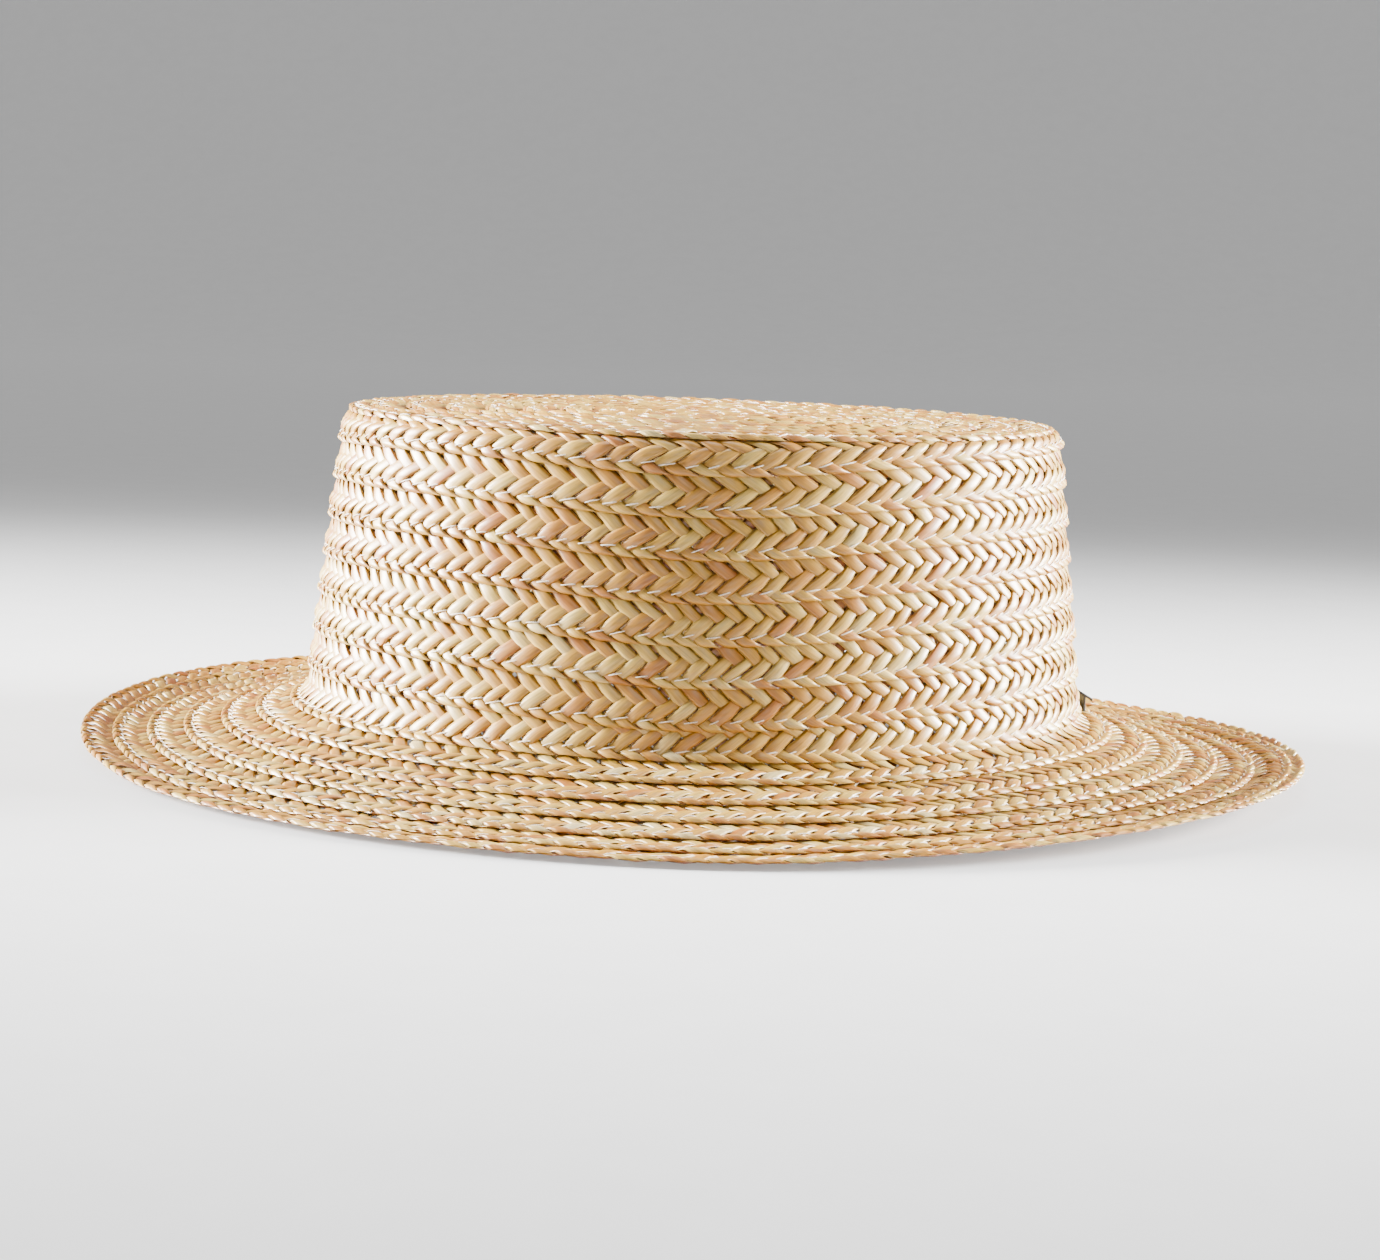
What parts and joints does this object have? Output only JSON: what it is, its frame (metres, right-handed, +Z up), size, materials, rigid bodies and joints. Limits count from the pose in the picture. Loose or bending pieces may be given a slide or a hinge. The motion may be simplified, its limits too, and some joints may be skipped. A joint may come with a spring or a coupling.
{
  "type": "boater hat",
  "caption": "Boater hat of sewn natural straw plait: flat oval crown, straight leaning side, wide gently falling brim, worn on the head against the sun",
  "frame": {"origin": "bottom centre of the hat's box: on the surface it stands on, under the middle of the crown", "axes": "+X along the long axis of the head oval toward the tag, +Y across the hat, +Z up"},
  "size_m": [0.3124, 0.2862, 0.0869],
  "materials": {
    "natural_straw": "satin",
    "dark_metal": "satin"
  },
  "bodies": {
    "root": {"crown_tip": "natural_straw", "crown_shoulder": "natural_straw", "crown_side": "natural_straw", "brim": "natural_straw", "brim_edge": "natural_straw", "back_tag": "dark_metal"}
  },
  "joints": []
}
